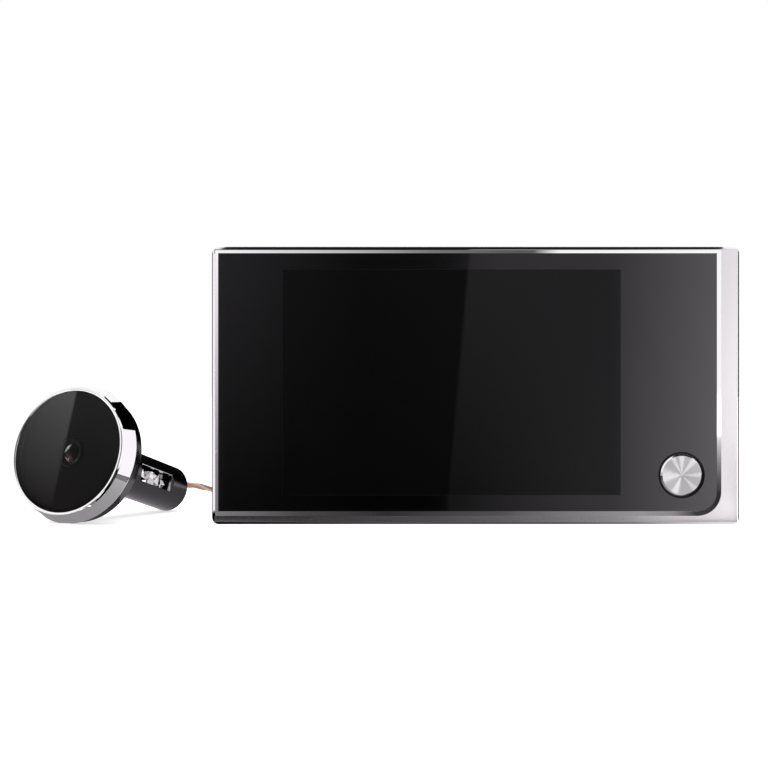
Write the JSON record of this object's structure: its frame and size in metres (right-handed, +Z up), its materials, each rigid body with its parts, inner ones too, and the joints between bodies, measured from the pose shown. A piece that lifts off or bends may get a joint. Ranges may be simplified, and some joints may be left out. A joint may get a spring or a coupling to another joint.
{
  "type": "peephole door camera",
  "caption": "Flat indoor door-viewer monitor with black glass, chrome trim and a round metal push button, wired to a round chrome camera with a through-door barrel.",
  "frame": {"origin": "middle of the monitor's foot, at half its width and half its depth, on the surface it stands on", "axes": "+X to the right seen from the front, +Y away from the viewer, +Z up"},
  "size_m": [0.1852, 0.0769, 0.07],
  "materials": {
    "satin_silver": "fine brushed satin",
    "chrome": "bright polished plate",
    "black_glass": "polished, printed black on the back",
    "window_glass": "polished, dark tint",
    "lens_glass": "coated optical glass",
    "display": "dark panel, switched off",
    "backlight_white": "matt",
    "black_tape": "foam tape",
    "sheet_steel": "plain sheet",
    "contact_metal": "nickel plate",
    "screw_steel": "zinc plate",
    "flex_film": "polyimide film",
    "board_green": "solder mask",
    "chip_black": "moulded epoxy",
    "component_dark": "sleeved",
    "connector_white": "nylon",
    "black_abs": "fine texture",
    "spun_aluminium": "spun face with a cut edge",
    "cell_wrap": "plain shrink wrap",
    "black_nickel": "dark polished plate",
    "foil": "crumpled foil",
    "black_rubber": "moulded",
    "lead_wire": "fine insulated wires",
    "plug_white": "nylon"
  },
  "bodies": {
    "housing": {"front_frame": "satin_silver", "bezel_trim": "chrome", "front_glass": "black_glass", "glass_tape": "black_tape", "lcd_panel": "display", "lcd_backlight": "backlight_white", "lcd_shield": "sheet_steel", "lcd_flex": "flex_film", "lcd_connector": "connector_white", "main_board": "board_green", "video_chip": "chip_black", "memory_chip": "chip_black", "power_coils": "component_dark", "capacitors": "component_dark", "camera_socket": "connector_white", "power_switch": "sheet_steel", "tact_switch": "sheet_steel", "button_board": "board_green", "button_flex": "flex_film", "rear_cover": "black_abs", "battery_1": "cell_wrap", "battery_2": "cell_wrap", "battery_3": "cell_wrap", "battery_springs": "contact_metal", "contact_plates": "contact_metal", "case_screws": "screw_steel", "board_screws": "screw_steel", "camera_bezel": "chrome", "camera_window": "window_glass", "window_seal": "black_tape", "lens_shroud": "black_abs", "lens_front": "lens_glass", "lens_barrel": "black_abs", "lens_rear": "lens_glass", "lens_holder": "black_abs", "image_sensor": "chip_black", "sensor_board": "board_green", "sensor_connector": "connector_white", "camera_screws": "screw_steel", "camera_barrel": "black_nickel", "cable_shield": "foil", "cable_grommet": "black_rubber", "camera_cable": "lead_wire", "camera_plug": "plug_white"},
    "button": {"button_cap": "spun_aluminium", "button_carrier": "black_abs"},
    "plunger": {"tact_plunger": "black_abs"},
    "door": {"battery_door": "black_abs"},
    "slider": {"power_slider": "black_abs"}
  },
  "joints": [
    {"name": "button_press", "type": "slide", "parent": "housing", "child": "button", "axis": [0, 1, 0], "range_m": [0, 0.0005], "stiffness_N_per_m": 2400, "springref_m": -0.0002},
    {"name": "plunger_press", "type": "slide", "parent": "housing", "child": "plunger", "axis": [0, 1, 0], "range_m": [0, 0.0005]},
    {"name": "battery_door_slide", "type": "slide", "parent": "housing", "child": "door", "axis": [1, 0, 0], "range_m": [0, 0.058]},
    {"name": "power_slide", "type": "slide", "parent": "housing", "child": "slider", "axis": [1, 0, 0], "range_m": [0, 0.002]}
  ],
  "couplings": [
    {"joint": "plunger_press", "follows": "button_press", "ratio": 1}
  ]
}
